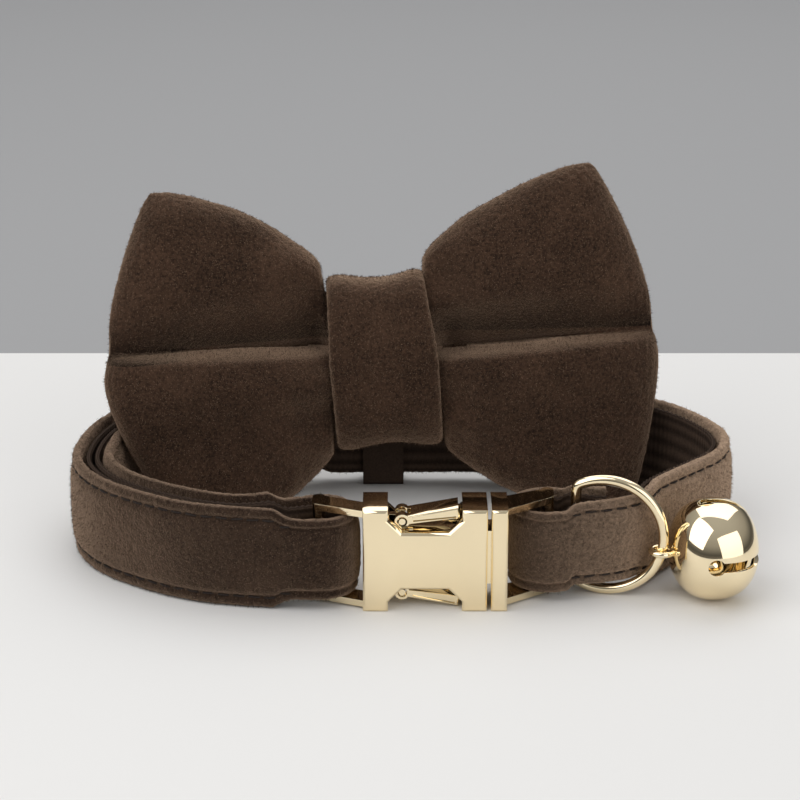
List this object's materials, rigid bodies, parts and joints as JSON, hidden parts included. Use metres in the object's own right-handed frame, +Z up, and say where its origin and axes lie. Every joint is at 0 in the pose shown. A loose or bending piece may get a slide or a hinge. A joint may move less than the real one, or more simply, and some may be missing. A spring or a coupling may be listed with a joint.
{
  "type": "pet bow tie collar",
  "caption": "Pet bow tie collar: a velvet strap in a closed loop with a curved metal side release buckle, a ring with a round bell, a length slider and a padded bow on an elastic loop.",
  "frame": {"origin": "bottom centre of the whole collar as it stands", "axes": "+X to the right as seen from the front, +Y from the buckle to the bow, +Z up"},
  "size_m": [0.1242, 0.0692, 0.0663],
  "materials": {
    "velvet": "dark brown velvet pile",
    "webbing": "ribbed woven tape",
    "elastic": "flat knitted elastic",
    "gold_metal": "pale gold, polished to a mirror"
  },
  "bodies": {
    "collar": {"strap_velvet": "velvet", "strap_webbing": "webbing", "slider": "gold_metal", "buckle_socket": "gold_metal", "buckle_plug": "gold_metal", "bow_body": "velvet", "bow_knot": "velvet", "bow_elastic": "elastic"},
    "lever_top": {"lever_top": "gold_metal"},
    "lever_bottom": {"lever_bottom": "gold_metal"},
    "ring": {"d_ring": "gold_metal", "bell": "gold_metal"}
  },
  "joints": [
    {"name": "lever_top_pinch", "type": "hinge", "parent": "collar", "child": "lever_top", "pos_m": [-0.00081, -0.02801, 0.0162], "axis": [0, 1, 0], "range_deg": [0, 11], "stiffness_Nm_per_rad": 0.1},
    {"name": "lever_bottom_pinch", "type": "hinge", "parent": "collar", "child": "lever_bottom", "pos_m": [-0.00081, -0.02801, 0.0028], "axis": [0, -1, 0], "range_deg": [0, 11], "stiffness_Nm_per_rad": 0.1},
    {"name": "ring_swing", "type": "hinge", "parent": "collar", "child": "ring", "pos_m": [0.02992, -0.02371, 0.0114], "axis": [0, 0, -1], "range_deg": [0, 90]}
  ]
}
